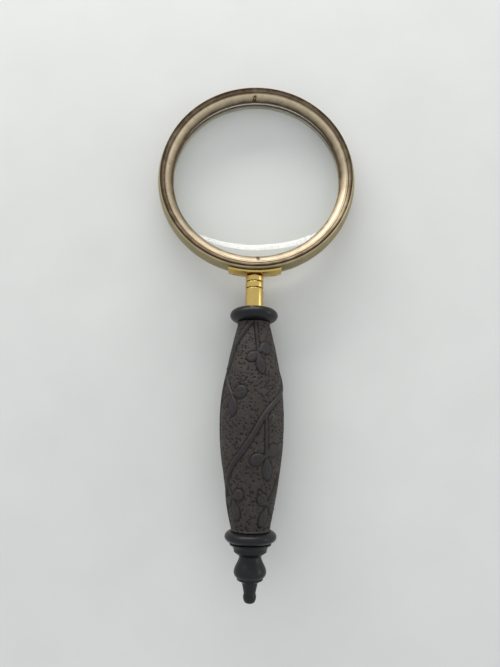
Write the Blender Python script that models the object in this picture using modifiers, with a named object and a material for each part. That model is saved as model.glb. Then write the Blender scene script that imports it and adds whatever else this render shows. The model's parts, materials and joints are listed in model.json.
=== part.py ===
"""Hand-held reading glass: a milled brass rim with a screwed retaining ring and a biconvex lens,
on a screwed brass neck and a turned and carved wooden handle.

Every piece is first placed in the glass's own frame: origin at the middle of the lens opening,
+Y away from the handle, +Z out of the front of the lens. "Along" is the distance from there
towards the finial, on the handle's axis (-Y). The empty "lie_down" then lays the whole object
on a table at Z = 0, where it rests on the far edge of the rim and on the belly of the grip.
"""

import math

import bmesh
import bpy
from mathutils import Matrix

MM = 0.001
GAP = 0.3 * MM  # left between pieces that touch
COLLECTION = "magnifying_glass"

# Lens and its packing. The lens's size drives the whole frame round it.
LENS_RADIUS = 38.1 * MM
LENS_EDGE = 3.0 * MM
LENS_CROWN = 3.2 * MM  # rise of each face
LENS_SUNK = 0.4 * MM  # the back crown stays this far inside the rim's back face
FRONT_PACKING_THICKNESS = 0.6 * MM
REAR_PACKING_THICKNESS = 0.5 * MM

# Rim and retaining ring, turned about the lens axis. Heights are along that axis.
SEAT_OVERLAP = 0.9 * MM  # how far the rim's lip covers the lens
SHOULDER = 2.9 * MM  # from the lens's pocket out to the threaded bore
RIM_WALL = 3.4 * MM  # from the threaded bore out to the widest part of the milled band
RIM_BACK = -5.5 * MM
RIM_BULGE = 1.45 * MM  # the milled band swells by this much between its front and back edges
RIM_CHAMFER = 0.25 * MM  # broken edges at front and back
THREAD_LENGTH = 2.1 * MM
BEZEL_OVERLAP = 0.4 * MM  # how far the bezel covers the lens
BEZEL_INSET = 0.25 * MM  # from the corner of the rim's band in to the bezel's edge
BEZEL_EDGE = 0.8 * MM  # height of the bezel's outer edge
BEZEL_LAND = 0.35 * MM  # flat at the very front of the bezel
BEZEL_LIP = 0.6 * MM  # thickness of the bezel at its opening
BEZEL_STEEP = 2.3 * MM  # width of the steep outer facet, with its land
BEZEL_STEEP_DROP = 1.3 * MM
SPANNER_HOLE_RADIUS = 0.55 * MM
SPANNER_HOLE_DEPTH = 1.0 * MM
SPANNER_HOLE_DEG = 92.0  # where the first hole lies round the ring

# Saddle and rivets.
SADDLE_THICKNESS = 1.0 * MM
SADDLE_WIDTH = 23.1 * MM
SADDLE_DEPTH = 7.2 * MM
SADDLE_FROM_BACK = 1.7 * MM  # from the rim's back face up to the saddle's rear edge
RIVET_RADIUS = 1.2 * MM
RIVET_SPREAD_DEG = 10.5
RIVET_HEIGHT = -0.9 * MM
RIVET_SKIN = 0.7 * MM  # brass left between a rivet's hole and the lens's pocket
RIVET_SUNK = 0.15 * MM  # filed just under the saddle's face

# Neck, along the handle's axis.
STUD_RADIUS = 1.9 * MM
STUD_SKIN = 0.3 * MM  # brass left between the stud's hole and the threaded bore
NECK_WALL = 1.7 * MM
NECK_BOSS_LENGTH = 2.3 * MM
NECK_SPACER_LENGTH = 2.6 * MM
NECK_EDGE = 0.25 * MM
FERRULE_LENGTH = 8.6 * MM
FERRULE_BORE_DEPTH = 7.6 * MM
FERRULE_WEB = 2.6 * MM  # solid brass between the stud's bore and the rod's bore
FERRULE_TAIL_WALL = 0.6 * MM
FERRULE_TAIL_LENGTH = 11.6 * MM

# Wooden pieces.
COLLAR_RADIUS = 10.3 * MM
COLLAR_THICKNESS = 6.1 * MM
COLLAR_ROUND = 4.1 * MM  # how far in the rounded side reaches
GRIP_LENGTH = 84.0 * MM
GRIP_TOP_RADIUS = 7.2 * MM
GRIP_BELLY_RADIUS = 13.65 * MM
GRIP_BELLY_PLACE = 41.0 * MM  # from the grip's top
GRIP_END_RADIUS = 8.1 * MM
LOWER_DISC_RADIUS = 10.4 * MM
LOWER_DISC_THICKNESS = 4.3 * MM
LOWER_DISC_ROUND = 2.9 * MM

# Finial, in the order in which its mouldings follow each other.
FLANGE_RADIUS = 8.35 * MM
FLANGE_HEIGHT = 0.6 * MM
COVE_HEIGHT = 1.4 * MM
COVE_FILLET = 0.3 * MM
BEAD_RADIUS = 6.6 * MM
BEAD_HEIGHT = 1.2 * MM
SPLAY_HEIGHT = 1.6 * MM
WAIST_RADIUS = 4.4 * MM
FLARE_HEIGHT = 5.9 * MM  # from the waist out to the widest part of the bulb
BULB_RADIUS = 6.45 * MM
BULB_HEIGHT = 2.1 * MM  # from there down to the step
STEP_RADIUS = 5.2 * MM
STEP_HEIGHT = 0.7 * MM
STEP_SPLAY_HEIGHT = 1.0 * MM
STEM_RADIUS = 3.2 * MM
STEM_HEIGHT = 3.9 * MM
STEM_END_RADIUS = 2.35 * MM
TIP_RADIUS = 2.6 * MM
TIP_HEIGHT = 3.6 * MM

# Rod, washer and nut inside the handle.
ROD_RADIUS = 1.6 * MM
ROD_IN_FINIAL = 4.1 * MM
NUT_ACROSS_FLATS = 6.0 * MM
NUT_THICKNESS = 2.4 * MM
NUT_ROOM = 0.9 * MM  # left under the nut in its counterbore
WASHER_MARGIN = 0.45 * MM  # from the nut's corners to the washer's edge
WASHER_THICKNESS = 0.8 * MM

RING_STEPS = 72
WOOD_STEPS = 32
SMALL_STEPS = 20

# Sizes that follow: the frame, outwards from the lens.
POCKET_RADIUS = LENS_RADIUS + GAP
THREAD_BORE = POCKET_RADIUS + SHOULDER
THREAD_RADIUS = THREAD_BORE - GAP
RIM_RADIUS = THREAD_BORE + RIM_WALL
RIM_EDGE_RADIUS = RIM_RADIUS - RIM_BULGE
SEAT_OPENING = LENS_RADIUS - SEAT_OVERLAP
BEZEL_RADIUS = RIM_EDGE_RADIUS - BEZEL_INSET
BEZEL_OPENING = LENS_RADIUS - BEZEL_OVERLAP

# The same stack from back to front.
LENS_BACK_EDGE = RIM_BACK + LENS_SUNK + LENS_CROWN
REAR_PACKING_BOTTOM = LENS_BACK_EDGE - GAP - REAR_PACKING_THICKNESS
SEAT_HEIGHT = REAR_PACKING_BOTTOM - GAP
LENS_FRONT_EDGE = LENS_BACK_EDGE + LENS_EDGE
FRONT_PACKING_BOTTOM = LENS_FRONT_EDGE + GAP
SPIGOT_BOTTOM = FRONT_PACKING_BOTTOM + FRONT_PACKING_THICKNESS + GAP
RIM_FRONT = SPIGOT_BOTTOM + THREAD_LENGTH
BEZEL_BOTTOM = RIM_FRONT + GAP
BEZEL_FRONT = BEZEL_BOTTOM + BEZEL_EDGE

# The milled band swells in one arc from edge to edge; the saddle lies on it.
RIM_WIDEST = (RIM_FRONT + RIM_BACK) / 2
RIM_CURVE = ((RIM_FRONT - RIM_WIDEST) ** 2 + RIM_BULGE**2) / (2 * RIM_BULGE)
SADDLE_REAR = RIM_BACK + SADDLE_FROM_BACK
SADDLE_FACE = RIM_RADIUS + GAP + SADDLE_THICKNESS  # its outer face, at RIM_WIDEST

# The handle, outwards from the frame.
STUD_ROOT = THREAD_BORE + STUD_SKIN + GAP
STUD_BORE = STUD_RADIUS + GAP
NECK_RADIUS = STUD_BORE + NECK_WALL
BOSS_START = SADDLE_FACE + GAP
SPACER_START = BOSS_START + NECK_BOSS_LENGTH + GAP
FERRULE_START = SPACER_START + NECK_SPACER_LENGTH + GAP
STUD_END = FERRULE_START + FERRULE_BORE_DEPTH - GAP
FERRULE_TAIL_RADIUS = STUD_BORE + FERRULE_TAIL_WALL
FERRULE_TAIL_START = FERRULE_START + FERRULE_LENGTH
FERRULE_TAIL_END = FERRULE_TAIL_START + FERRULE_TAIL_LENGTH
COLLAR_START = FERRULE_TAIL_START + GAP
GRIP_START = COLLAR_START + COLLAR_THICKNESS + GAP
GRIP_END = GRIP_START + GRIP_LENGTH
LOWER_DISC_START = GRIP_END + GAP
FINIAL_START = LOWER_DISC_START + LOWER_DISC_THICKNESS + GAP
ROD_BORE = ROD_RADIUS + GAP
ROD_START = FERRULE_START + FERRULE_BORE_DEPTH + FERRULE_WEB + GAP
ROD_END = FINIAL_START + ROD_IN_FINIAL
FINIAL_END = FINIAL_START + sum((
    FLANGE_HEIGHT, COVE_HEIGHT, BEAD_HEIGHT, SPLAY_HEIGHT, FLARE_HEIGHT, BULB_HEIGHT,
    STEP_HEIGHT, STEP_SPLAY_HEIGHT, STEM_HEIGHT, TIP_HEIGHT,
))
NUT_CORNER = NUT_ACROSS_FLATS / 2 / math.cos(math.pi / 6)
WASHER_RADIUS = NUT_CORNER + WASHER_MARGIN
NUT_START = GRIP_END - NUT_ROOM - NUT_THICKNESS
WASHER_START = NUT_START - GAP - WASHER_THICKNESS
COUNTERBORE_START = WASHER_START - GAP


def clear_scene():
    for obj in list(bpy.data.objects):
        bpy.data.objects.remove(obj, do_unlink=True)


def new_collection(name, shown=True):
    collection = bpy.data.collections.new(name)
    collection.hide_render = not shown
    bpy.context.scene.collection.children.link(collection)
    return collection


def make_material(name, colour, roughness, metallic=0.0, transmission=0.0):
    material = bpy.data.materials.new(name)
    material.use_nodes = True
    shader = material.node_tree.nodes["Principled BSDF"]
    shader.inputs["Base Color"].default_value = (*colour, 1.0)
    shader.inputs["Roughness"].default_value = roughness
    shader.inputs["Metallic"].default_value = metallic
    shader.inputs["Transmission Weight"].default_value = transmission
    material.diffuse_color = (*colour, 1.0)
    return material


def arc(centre, radii, start_deg, end_deg, steps):
    """Points of an elliptic arc in a turned profile, as (radius, height)."""
    points = []
    for step in range(steps + 1):
        angle = math.radians(start_deg + (end_deg - start_deg) * step / steps)
        points.append((centre[0] + radii[0] * math.cos(angle), centre[1] + radii[1] * math.sin(angle)))
    return points


def turned(name, profile, steps, closed, collection, material=None):
    """An object whose profile of (radius, height) points, outer side downwards, is turned about Z.

    The profile starts half a step round, so that a flat of the turned shape faces each way.
    """
    mesh = bpy.data.meshes.new(name)
    shape = bmesh.new()
    half_step = math.pi / steps
    points = []
    for radius, height in profile:
        place = (radius * math.cos(half_step), radius * math.sin(half_step), height)
        points.append(shape.verts.new(place))
    for start, end in zip(points, points[1:]):
        shape.edges.new((start, end))
    if closed:
        shape.edges.new((points[-1], points[0]))
    shape.to_mesh(mesh)
    shape.free()
    obj = bpy.data.objects.new(name, mesh)
    collection.objects.link(obj)
    screw = obj.modifiers.new("turn", "SCREW")
    screw.axis = "Z"
    screw.angle = math.tau
    screw.steps = steps
    screw.render_steps = steps
    screw.use_merge_vertices = True
    screw.merge_threshold = 0.00001
    screw.use_smooth_shade = False
    if material:
        mesh.materials.append(material)
    return obj


def lay_along_handle(obj):
    """Turns a piece from its own Z axis onto the handle's axis, so that height becomes "along"."""
    obj.rotation_euler = (math.pi / 2, 0.0, 0.0)
    return obj


def sleeve(outer, bore, start, end, edge):
    """Closed profile of a plain tube with its outer edges broken."""
    return [
        (bore, end),
        (outer - edge, end),
        (outer, end - edge),
        (outer, start + edge),
        (outer - edge, start),
        (bore, start),
    ]


def rod(start, end, radius, edge):
    """Open profile of a solid round bar with its edges broken."""
    return [
        (0.0, end),
        (radius - edge, end),
        (radius, end - edge),
        (radius, start + edge),
        (radius - edge, start),
        (0.0, start),
    ]


def plug(start, end, radius):
    """Open profile of a plain solid cylinder, as a drill leaves it."""
    return [(0.0, end), (radius, end), (radius, start), (0.0, start)]


def cutter(name, profile, collection, steps=SMALL_STEPS):
    obj = turned(name, profile, steps, False, collection)
    obj.hide_render = True
    obj.display_type = "WIRE"
    return obj


def cut(obj, tool):
    boolean = obj.modifiers.new("cut_" + tool.name, "BOOLEAN")
    boolean.operation = "DIFFERENCE"
    boolean.solver = "EXACT"
    boolean.object = tool


def lay_round(obj, angle_deg):
    """Points a bar that is turned about Z out from the lens axis, at this angle from the handle."""
    swing = Matrix.Rotation(math.radians(angle_deg), 3, "Z")
    obj.rotation_euler = (swing @ Matrix.Rotation(math.pi / 2, 3, "X")).to_euler()


def wall_radius(height):
    """Radius of the rim's milled band at this height."""
    return RIM_RADIUS - RIM_CURVE + math.sqrt(RIM_CURVE**2 - (height - RIM_WIDEST) ** 2)


def wall_points(start, end, steps, outwards=0.0):
    """(radius, height) points of the milled band between two heights, or of a face outside it."""
    heights = [start + (end - start) * step / steps for step in range(steps + 1)]
    return [(wall_radius(height) + outwards, height) for height in heights]


def make_rim(collection, material):
    profile = [(THREAD_BORE, RIM_FRONT), (RIM_EDGE_RADIUS - RIM_CHAMFER, RIM_FRONT)]
    profile += wall_points(RIM_FRONT - RIM_CHAMFER, RIM_BACK + RIM_CHAMFER, 8)
    profile += [
        (RIM_EDGE_RADIUS - RIM_CHAMFER, RIM_BACK),
        (SEAT_OPENING, RIM_BACK),
        (SEAT_OPENING, SEAT_HEIGHT),
        (POCKET_RADIUS, SEAT_HEIGHT),
        (POCKET_RADIUS, LENS_FRONT_EDGE),
        (THREAD_BORE, LENS_FRONT_EDGE),
    ]
    return turned("rim", profile, RING_STEPS, True, collection, material)


def make_retaining_ring(collection, material):
    profile = [
        (BEZEL_OPENING, SPIGOT_BOTTOM + BEZEL_LIP),
        (BEZEL_RADIUS - BEZEL_STEEP, BEZEL_FRONT - BEZEL_STEEP_DROP),
        (BEZEL_RADIUS - 2 * BEZEL_LAND, BEZEL_FRONT),
        (BEZEL_RADIUS - BEZEL_LAND, BEZEL_FRONT),
        (BEZEL_RADIUS, BEZEL_FRONT - BEZEL_LAND),
        (BEZEL_RADIUS, BEZEL_BOTTOM),
        (THREAD_RADIUS, BEZEL_BOTTOM),
        (THREAD_RADIUS, SPIGOT_BOTTOM),
        (BEZEL_OPENING, SPIGOT_BOTTOM),
    ]
    return turned("retaining_ring", profile, RING_STEPS, True, collection, material)


def drill_spanner_holes(ring, cutters):
    """Two blind holes in the middle of the bezel's flatter inner facet, for a pin spanner."""
    facet_outer = BEZEL_RADIUS - BEZEL_STEEP
    reach = (BEZEL_OPENING + facet_outer) / 2
    face = (SPIGOT_BOTTOM + BEZEL_LIP + BEZEL_FRONT - BEZEL_STEEP_DROP) / 2
    for number in range(2):
        angle = math.radians(SPANNER_HOLE_DEG + 180.0 * number)
        profile = plug(face - SPANNER_HOLE_DEPTH, BEZEL_FRONT, SPANNER_HOLE_RADIUS)
        drill = cutter(f"spanner_drill_{number}", profile, cutters, 12)
        drill.location = (reach * math.cos(angle), reach * math.sin(angle), 0.0)
        cut(ring, drill)


def make_lens(collection, material):
    """Two spherical caps on a plain ground edge."""
    sphere = (LENS_RADIUS**2 + LENS_CROWN**2) / (2 * LENS_CROWN)
    steps = 7
    front = []
    for step in range(steps + 1):
        radius = LENS_RADIUS * step / steps
        rise = math.sqrt(sphere**2 - radius**2) - (sphere - LENS_CROWN)
        front.append((radius, LENS_FRONT_EDGE + rise))
    middle = (LENS_BACK_EDGE + LENS_FRONT_EDGE) / 2
    back = [(radius, 2 * middle - height) for radius, height in reversed(front)]
    return turned("lens", front + back, RING_STEPS, False, collection, material)


def make_packing(name, bottom, thickness, outer, collection, material):
    profile = [
        (BEZEL_OPENING, bottom + thickness),
        (outer, bottom + thickness),
        (outer, bottom),
        (BEZEL_OPENING, bottom),
    ]
    return turned(name, profile, RING_STEPS, True, collection, material)


def make_saddle(collection, cutters, material):
    """A piece of a ring bent to the rim's swelling band, cut to its width by a block."""
    front = SADDLE_REAR + SADDLE_DEPTH
    profile = wall_points(front, SADDLE_REAR, 5, GAP + SADDLE_THICKNESS)
    profile += wall_points(SADDLE_REAR, front, 5, GAP)
    saddle = turned("saddle", profile, RING_STEPS, True, collection, material)
    mesh = bpy.data.meshes.new("saddle_block")
    shape = bmesh.new()
    bmesh.ops.create_cube(shape, size=1.0)
    shape.to_mesh(mesh)
    shape.free()
    block = bpy.data.objects.new("saddle_block", mesh)
    block.hide_render = True
    block.scale = (SADDLE_WIDTH, RIM_RADIUS, 4 * SADDLE_DEPTH)
    block.location.y = -RIM_RADIUS
    cutters.objects.link(block)
    keep = saddle.modifiers.new("keep_" + block.name, "BOOLEAN")
    keep.operation = "INTERSECT"
    keep.solver = "EXACT"
    keep.object = block
    return saddle


def make_rivets(rim, saddle, collection, cutters, material):
    root = POCKET_RADIUS + RIVET_SKIN + GAP
    lowest = min(wall_radius(RIVET_HEIGHT + reach) for reach in (-RIVET_RADIUS, RIVET_RADIUS))
    end = lowest + GAP + SADDLE_THICKNESS - RIVET_SUNK
    for side, angle in (("left", -RIVET_SPREAD_DEG), ("right", RIVET_SPREAD_DEG)):
        profile = rod(root, end, RIVET_RADIUS, 0.1 * MM)
        rivet = turned("saddle_rivet_" + side, profile, SMALL_STEPS, False, collection, material)
        profile = plug(root - GAP, SADDLE_FACE + SADDLE_THICKNESS, RIVET_RADIUS + GAP)
        drill = cutter("rivet_drill_" + side, profile, cutters)
        for piece in (rivet, drill):
            lay_round(piece, angle)
            piece.location.z = RIVET_HEIGHT
        cut(rim, drill)
        cut(saddle, drill)


def make_neck(rim, saddle, collection, cutters, material):
    """The stud and the two brass pieces that it passes through between saddle and ferrule."""
    profile = rod(STUD_ROOT, STUD_END, STUD_RADIUS, 0.2 * MM)
    lay_along_handle(turned("neck_stud", profile, SMALL_STEPS, False, collection, material))
    drill = cutter("stud_drill", plug(STUD_ROOT - GAP, BOSS_START + GAP, STUD_BORE), cutters)
    lay_along_handle(drill)
    cut(rim, drill)
    cut(saddle, drill)
    boss = sleeve(NECK_RADIUS, STUD_BORE, BOSS_START, BOSS_START + NECK_BOSS_LENGTH, NECK_EDGE)
    lay_along_handle(turned("neck_boss", boss, WOOD_STEPS, True, collection, material))
    spacer = sleeve(NECK_RADIUS, STUD_BORE, SPACER_START, SPACER_START + NECK_SPACER_LENGTH, NECK_EDGE)
    lay_along_handle(turned("neck_spacer", spacer, WOOD_STEPS, True, collection, material))


def make_ferrule(collection, material):
    """One solid with a blind bore from each end, so its profile is open at the axis."""
    web_start = FERRULE_START + FERRULE_BORE_DEPTH
    profile = [
        (0.0, web_start + FERRULE_WEB),
        (ROD_BORE, web_start + FERRULE_WEB),
        (ROD_BORE, FERRULE_TAIL_END),
        (FERRULE_TAIL_RADIUS, FERRULE_TAIL_END),
        (FERRULE_TAIL_RADIUS, FERRULE_TAIL_START),
        (NECK_RADIUS, FERRULE_TAIL_START),
        (NECK_RADIUS, FERRULE_START + NECK_EDGE),
        (NECK_RADIUS - NECK_EDGE, FERRULE_START),
        (STUD_BORE, FERRULE_START),
        (STUD_BORE, web_start),
        (0.0, web_start),
    ]
    return lay_along_handle(turned("ferrule", profile, WOOD_STEPS, False, collection, material))


def make_disc(name, start, thickness, radius, round_in, bore, collection, material):
    middle = start + thickness / 2
    side = arc((radius - round_in, middle), (round_in, thickness / 2), 90, -90, 10)
    profile = [(bore, start + thickness)] + side + [(bore, start)]
    return lay_along_handle(turned(name, profile, WOOD_STEPS, True, collection, material))


def grip_radius(depth):
    """Outer radius of the grip at this depth below its top: two quarter waves about the belly."""
    if depth < GRIP_BELLY_PLACE:
        share = math.sin(math.pi / 2 * depth / GRIP_BELLY_PLACE)
        return GRIP_TOP_RADIUS + (GRIP_BELLY_RADIUS - GRIP_TOP_RADIUS) * share
    share = math.cos(math.pi / 2 * (depth - GRIP_BELLY_PLACE) / (GRIP_LENGTH - GRIP_BELLY_PLACE))
    return GRIP_END_RADIUS + (GRIP_BELLY_RADIUS - GRIP_END_RADIUS) * share


def grip_outline():
    """(radius, along) points of the grip's outer side, from its lower end up to its top."""
    above, below = 8, 9
    depths = [GRIP_BELLY_PLACE * step / above for step in range(above)]
    depths += [
        GRIP_BELLY_PLACE + (GRIP_LENGTH - GRIP_BELLY_PLACE) * step / below for step in range(below + 1)
    ]
    return [(grip_radius(depth), GRIP_START + depth) for depth in reversed(depths)]


def make_grip(collection, material):
    tail_bore = FERRULE_TAIL_RADIUS + GAP
    nut_bore = WASHER_RADIUS + GAP
    profile = [(nut_bore, GRIP_END)] + grip_outline()
    profile += [
        (tail_bore, GRIP_START),
        (tail_bore, FERRULE_TAIL_END + GAP),
        (ROD_BORE, FERRULE_TAIL_END + GAP),
        (ROD_BORE, COUNTERBORE_START),
        (nut_bore, COUNTERBORE_START),
    ]
    return lay_along_handle(turned("grip", profile, WOOD_STEPS, True, collection, material))


def finial_outline():
    """(radius, along) points of the finial's outer side from its tip up to its flange."""
    heights = (FLANGE_HEIGHT, COVE_HEIGHT, BEAD_HEIGHT, SPLAY_HEIGHT, FLARE_HEIGHT, BULB_HEIGHT,
               STEP_HEIGHT, STEP_SPLAY_HEIGHT, STEM_HEIGHT, TIP_HEIGHT)
    starts = [FINIAL_START]
    for height in heights:
        starts.append(starts[-1] + height)
    flange, cove, bead, splay, flare, bulb, step, step_splay, stem, tip, end = starts
    cove_size = (FLANGE_RADIUS - BEAD_RADIUS - COVE_FILLET, COVE_HEIGHT)
    bulb_size = (BULB_RADIUS, 1.75 * BULB_HEIGHT)
    tip_size = (TIP_RADIUS / 2, TIP_HEIGHT * 2 / 3)
    outline = arc((TIP_RADIUS / 2, end - tip_size[1]), tip_size, 90, 0, 4)
    outline += [
        (STEM_END_RADIUS, tip),
        (STEM_RADIUS, stem),
        (STEP_RADIUS, step_splay),
        (STEP_RADIUS, step),
    ]
    outline += arc((0.0, bulb), bulb_size, 35, 0, 3)[1:]
    for number in range(1, 8):
        share = (1 + math.cos(math.pi * number / 7)) / 2
        radius = WAIST_RADIUS + (BULB_RADIUS - WAIST_RADIUS) * share
        outline.append((radius, bulb - FLARE_HEIGHT * number / 7))
    outline += [(BEAD_RADIUS, splay), (BEAD_RADIUS, bead)]
    outline += arc((FLANGE_RADIUS, bead), cove_size, 180, 270, 3)
    return outline + [(FLANGE_RADIUS, flange)]


def make_finial(collection, material):
    profile = [(0.0, FINIAL_END)] + finial_outline()
    profile += [
        (ROD_BORE, FINIAL_START),
        (ROD_BORE, ROD_END + GAP),
        (0.0, ROD_END + GAP),
    ]
    return lay_along_handle(turned("finial", profile, WOOD_STEPS, False, collection, material))


def make_rod_and_nut(collection, material):
    profile = rod(ROD_START, ROD_END, ROD_RADIUS, 0.2 * MM)
    lay_along_handle(turned("tang_rod", profile, SMALL_STEPS, False, collection, material))
    profile = sleeve(WASHER_RADIUS, ROD_BORE, WASHER_START, WASHER_START + WASHER_THICKNESS, 0.1 * MM)
    lay_along_handle(turned("tang_washer", profile, SMALL_STEPS, True, collection, material))
    profile = [
        (ROD_BORE, NUT_START + NUT_THICKNESS),
        (NUT_CORNER, NUT_START + NUT_THICKNESS),
        (NUT_CORNER, NUT_START),
        (ROD_BORE, NUT_START),
    ]
    lay_along_handle(turned("tang_nut", profile, 6, True, collection, material))


def lie_down(pieces):
    """Tilts and lifts the object so that the rim's back edge and the grip's belly touch Z = 0."""
    far = (RIM_EDGE_RADIUS - RIM_CHAMFER) * math.cos(math.pi / RING_STEPS)
    flat = math.cos(math.pi / WOOD_STEPS)
    tilt = max(math.atan((radius * flat + RIM_BACK) / (far + along)) for radius, along in grip_outline())
    empty = bpy.data.objects.new("lie_down", None)
    bpy.context.scene.collection.objects.link(empty)
    empty.rotation_euler = (-tilt, 0.0, 0.0)
    middle = (FINIAL_END - RIM_RADIUS) / 2 * math.cos(tilt)
    height = far * math.sin(tilt) - RIM_BACK * math.cos(tilt)
    empty.location = (0.0, middle, height)
    for piece in pieces:
        piece.parent = empty


def main():
    clear_scene()
    parts = new_collection(COLLECTION)
    cutters = new_collection("cutters", shown=False)
    brass = make_material("polished_brass", (0.60, 0.44, 0.17), 0.25, 1.0)
    aged_brass = make_material("aged_brass", (0.16, 0.11, 0.06), 0.4, 1.0)
    glass = make_material("lens_glass", (0.95, 0.98, 0.96), 0.02, 0.0, 1.0)
    card = make_material("packing_card", (0.33, 0.24, 0.15), 0.9)
    carved_wood = make_material("carved_wood", (0.045, 0.033, 0.027), 0.5)
    black_wood = make_material("ebonised_wood", (0.012, 0.012, 0.014), 0.35)
    steel = make_material("mild_steel", (0.4, 0.4, 0.4), 0.4, 1.0)

    rim = make_rim(parts, brass)
    drill_spanner_holes(make_retaining_ring(parts, aged_brass), cutters)
    make_lens(parts, glass)
    make_packing("rear_packing", REAR_PACKING_BOTTOM, REAR_PACKING_THICKNESS, LENS_RADIUS, parts, card)
    make_packing("front_packing", FRONT_PACKING_BOTTOM, FRONT_PACKING_THICKNESS, THREAD_RADIUS, parts, card)
    saddle = make_saddle(parts, cutters, brass)
    make_rivets(rim, saddle, parts, cutters, brass)
    make_neck(rim, saddle, parts, cutters, brass)
    make_ferrule(parts, brass)
    make_disc("collar_disc", COLLAR_START, COLLAR_THICKNESS, COLLAR_RADIUS, COLLAR_ROUND,
              FERRULE_TAIL_RADIUS + GAP, parts, black_wood)
    make_grip(parts, carved_wood)
    make_disc("lower_disc", LOWER_DISC_START, LOWER_DISC_THICKNESS, LOWER_DISC_RADIUS, LOWER_DISC_ROUND,
              ROD_BORE, parts, black_wood)
    make_finial(parts, black_wood)
    make_rod_and_nut(parts, steel)
    lie_down(list(parts.objects) + list(cutters.objects))


main()
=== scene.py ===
"""Looks of a hand-held reading glass, built round its CAD frame. Made for Blender 4.5.

Laid out as an add-on and run as a script: one operator for each piece or group of like pieces, and
one for the stage. Turned pieces are drawn about their own Z axis and then laid in place: GLASS is the
place of the lens's axis, and HANDLE that of the handle's, where own Z runs from the rim to the finial.
"""

import json
import math

import bmesh
import bpy
import numpy as np
from bpy.props import (
    FloatProperty,
    FloatVectorProperty,
    IntProperty,
    PointerProperty,
)
from mathutils import Matrix, Vector

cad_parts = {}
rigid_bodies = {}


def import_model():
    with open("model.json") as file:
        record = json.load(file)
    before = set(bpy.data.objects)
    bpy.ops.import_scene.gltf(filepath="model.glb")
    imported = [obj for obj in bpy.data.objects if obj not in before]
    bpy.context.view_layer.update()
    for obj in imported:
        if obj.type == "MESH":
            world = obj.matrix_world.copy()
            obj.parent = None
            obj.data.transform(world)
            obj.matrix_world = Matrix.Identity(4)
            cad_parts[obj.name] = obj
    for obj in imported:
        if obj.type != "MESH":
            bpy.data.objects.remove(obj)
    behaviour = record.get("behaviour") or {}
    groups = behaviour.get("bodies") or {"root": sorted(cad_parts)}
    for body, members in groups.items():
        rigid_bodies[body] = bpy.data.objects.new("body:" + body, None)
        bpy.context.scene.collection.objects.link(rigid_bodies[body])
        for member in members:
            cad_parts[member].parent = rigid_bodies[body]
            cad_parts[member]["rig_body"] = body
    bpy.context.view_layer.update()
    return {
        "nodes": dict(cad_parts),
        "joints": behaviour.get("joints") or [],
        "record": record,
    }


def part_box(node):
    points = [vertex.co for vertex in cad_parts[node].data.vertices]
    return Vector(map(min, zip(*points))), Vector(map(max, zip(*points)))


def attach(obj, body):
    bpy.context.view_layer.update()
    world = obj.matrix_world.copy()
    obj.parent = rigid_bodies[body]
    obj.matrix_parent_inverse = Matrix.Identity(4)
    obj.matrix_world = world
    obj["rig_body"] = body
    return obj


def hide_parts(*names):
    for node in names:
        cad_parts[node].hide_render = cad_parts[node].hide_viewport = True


bl_info = {
    "name": "Reading glass",
    "version": (1, 0, 0),
    "blender": (4, 5, 0),
    "location": "3D View > Sidebar > Reading glass",
    "description": "Builds the looks of a carved reading glass round its CAD frame",
    "category": "Object",
}

MM = 0.001
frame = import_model()

RECORD = frame["record"]
SLOTS = {subpart["node"]: subpart["material_slot"] for subpart in RECORD["subparts"]}
TURN = next(joint for joint in frame["joints"] if joint["name"] == "retainer_turn")
LEAN = math.atan2(TURN["axis"][1], TURN["axis"][2])
GLASS = Matrix.Translation(TURN["pos_m"]) @ Matrix.Rotation(-LEAN, 4, "X")
HANDLE = GLASS @ Matrix.Rotation(math.pi / 2, 4, "X")


def measured(node, own):
    """(radius, bore, lowest, highest) of a turned CAD node about its own axis.

    The radius is that of its outer flats, so that a finer turning stays inside it.
    """
    inverse = np.array(own.inverted())
    points = np.array([vertex.co for vertex in frame["nodes"][node].data.vertices])
    points = points @ inverse[:3, :3].T + inverse[:3, 3]
    bore = np.hypot(points[:, 0], points[:, 1]).min()
    height = points[:, 2]
    return float(np.abs(points[:, 0]).max()), float(bore), float(height.min()), float(height.max())


# Sizes read from the frame, in metres.
RIM_RADIUS, SEAT_OPENING, RIM_BACK, RIM_FRONT = measured("rim", GLASS)
BEZEL_RADIUS, BEZEL_OPENING, SPIGOT_BOTTOM, BEZEL_FRONT = measured("retaining_ring", GLASS)
LENS_RADIUS, _, LENS_BACK, LENS_FRONT = measured("lens", GLASS)
GRIP_BELLY, _, GRIP_START, GRIP_END = measured("grip", HANDLE)
FINIAL_START = measured("finial", HANDLE)[2]

# Sizes of the brass mount, repeated from the frame's own drawing.
RIM_WIDEST = (RIM_FRONT + RIM_BACK) / 2
RIM_BULGE = 1.45 * MM
RIM_CHAMFER = 0.25 * MM
RIM_CURVE = ((RIM_FRONT - RIM_WIDEST) ** 2 + RIM_BULGE**2) / (2 * RIM_BULGE)
THREAD_RADIUS = 41.0 * MM
GAP = 0.3 * MM  # between pieces that touch on the real glass
BEZEL_BOTTOM = RIM_FRONT + GAP
LENS_EDGE_BACK = -1.9 * MM
LENS_EDGE_FRONT = 1.1 * MM
TRENCH_DEPTH = 0.32 * MM  # of the narrow trench beside everything raised on the grip

# Kinds of node that are used often.
MATH = "ShaderNodeMath"
VECTOR = "ShaderNodeVectorMath"
RANGE = "ShaderNodeMapRange"
MIX = "ShaderNodeMix"
NOISE = "ShaderNodeTexNoise"
PRINCIPLED = "ShaderNodeBsdfPrincipled"
OUTPUT = "ShaderNodeOutputMaterial"


# ------------------------------------------------------------------ sizes and colours


def length(default_mm, name, description):
    return FloatProperty(
        name=name, description=description, default=default_mm * MM, unit="LENGTH", precision=5
    )


def colour(default, name, description):
    """A property that holds a linear colour."""
    return FloatVectorProperty(
        name=name, description=description, default=default, subtype="COLOR", size=4, min=0, max=1
    )


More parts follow.
